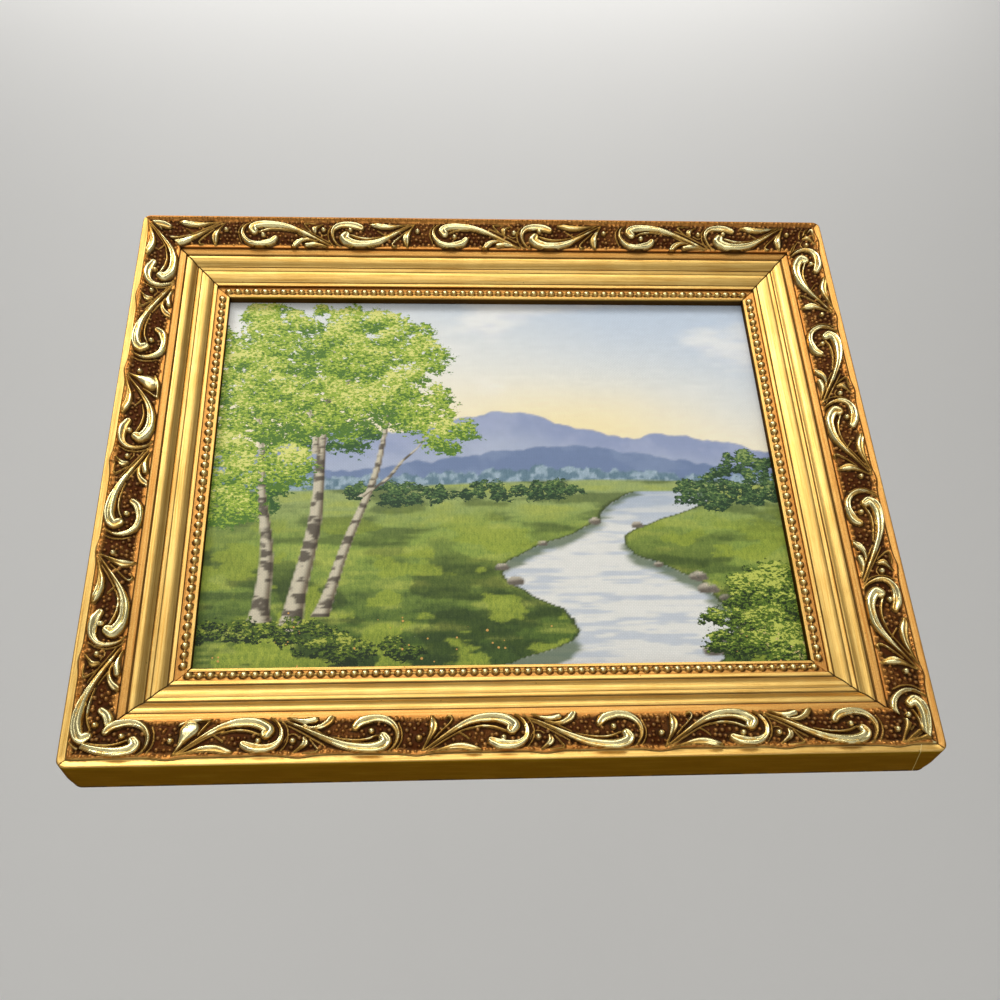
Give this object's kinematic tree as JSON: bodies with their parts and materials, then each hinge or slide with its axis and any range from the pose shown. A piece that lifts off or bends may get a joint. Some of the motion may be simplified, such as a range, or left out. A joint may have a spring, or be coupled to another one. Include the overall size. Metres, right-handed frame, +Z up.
{
  "type": "framed oil painting",
  "caption": "Small landscape oil painting on board in a wide gilded moulding frame with scroll ornament and a bead row, hung by a sawtooth hanger.",
  "frame": {"origin": "back face of the hanger, on the frame's centre line, where it meets the wall", "axes": "+Z up as hung, +Y toward the wall, the picture faces -Y and +X is to its right"},
  "size_m": [0.325, 0.026, 0.27],
  "materials": {
    "gilding": "carved and moulded wood, gilded over a red-brown ground, rubbed bright on the high places",
    "paint": "oil paint with a soft gloss on canvas laid on thin board",
    "steel": "bright zinc-plated steel, dulled"
  },
  "bodies": {
    "root": {"bottom_rail": "gilding", "right_rail": "gilding", "top_rail": "gilding", "left_rail": "gilding", "painting": "paint", "hanger": "steel", "bottom_point_1": "steel", "bottom_point_2": "steel", "right_point_1": "steel", "top_point_1": "steel", "top_point_2": "steel", "left_point_1": "steel"}
  },
  "joints": []
}
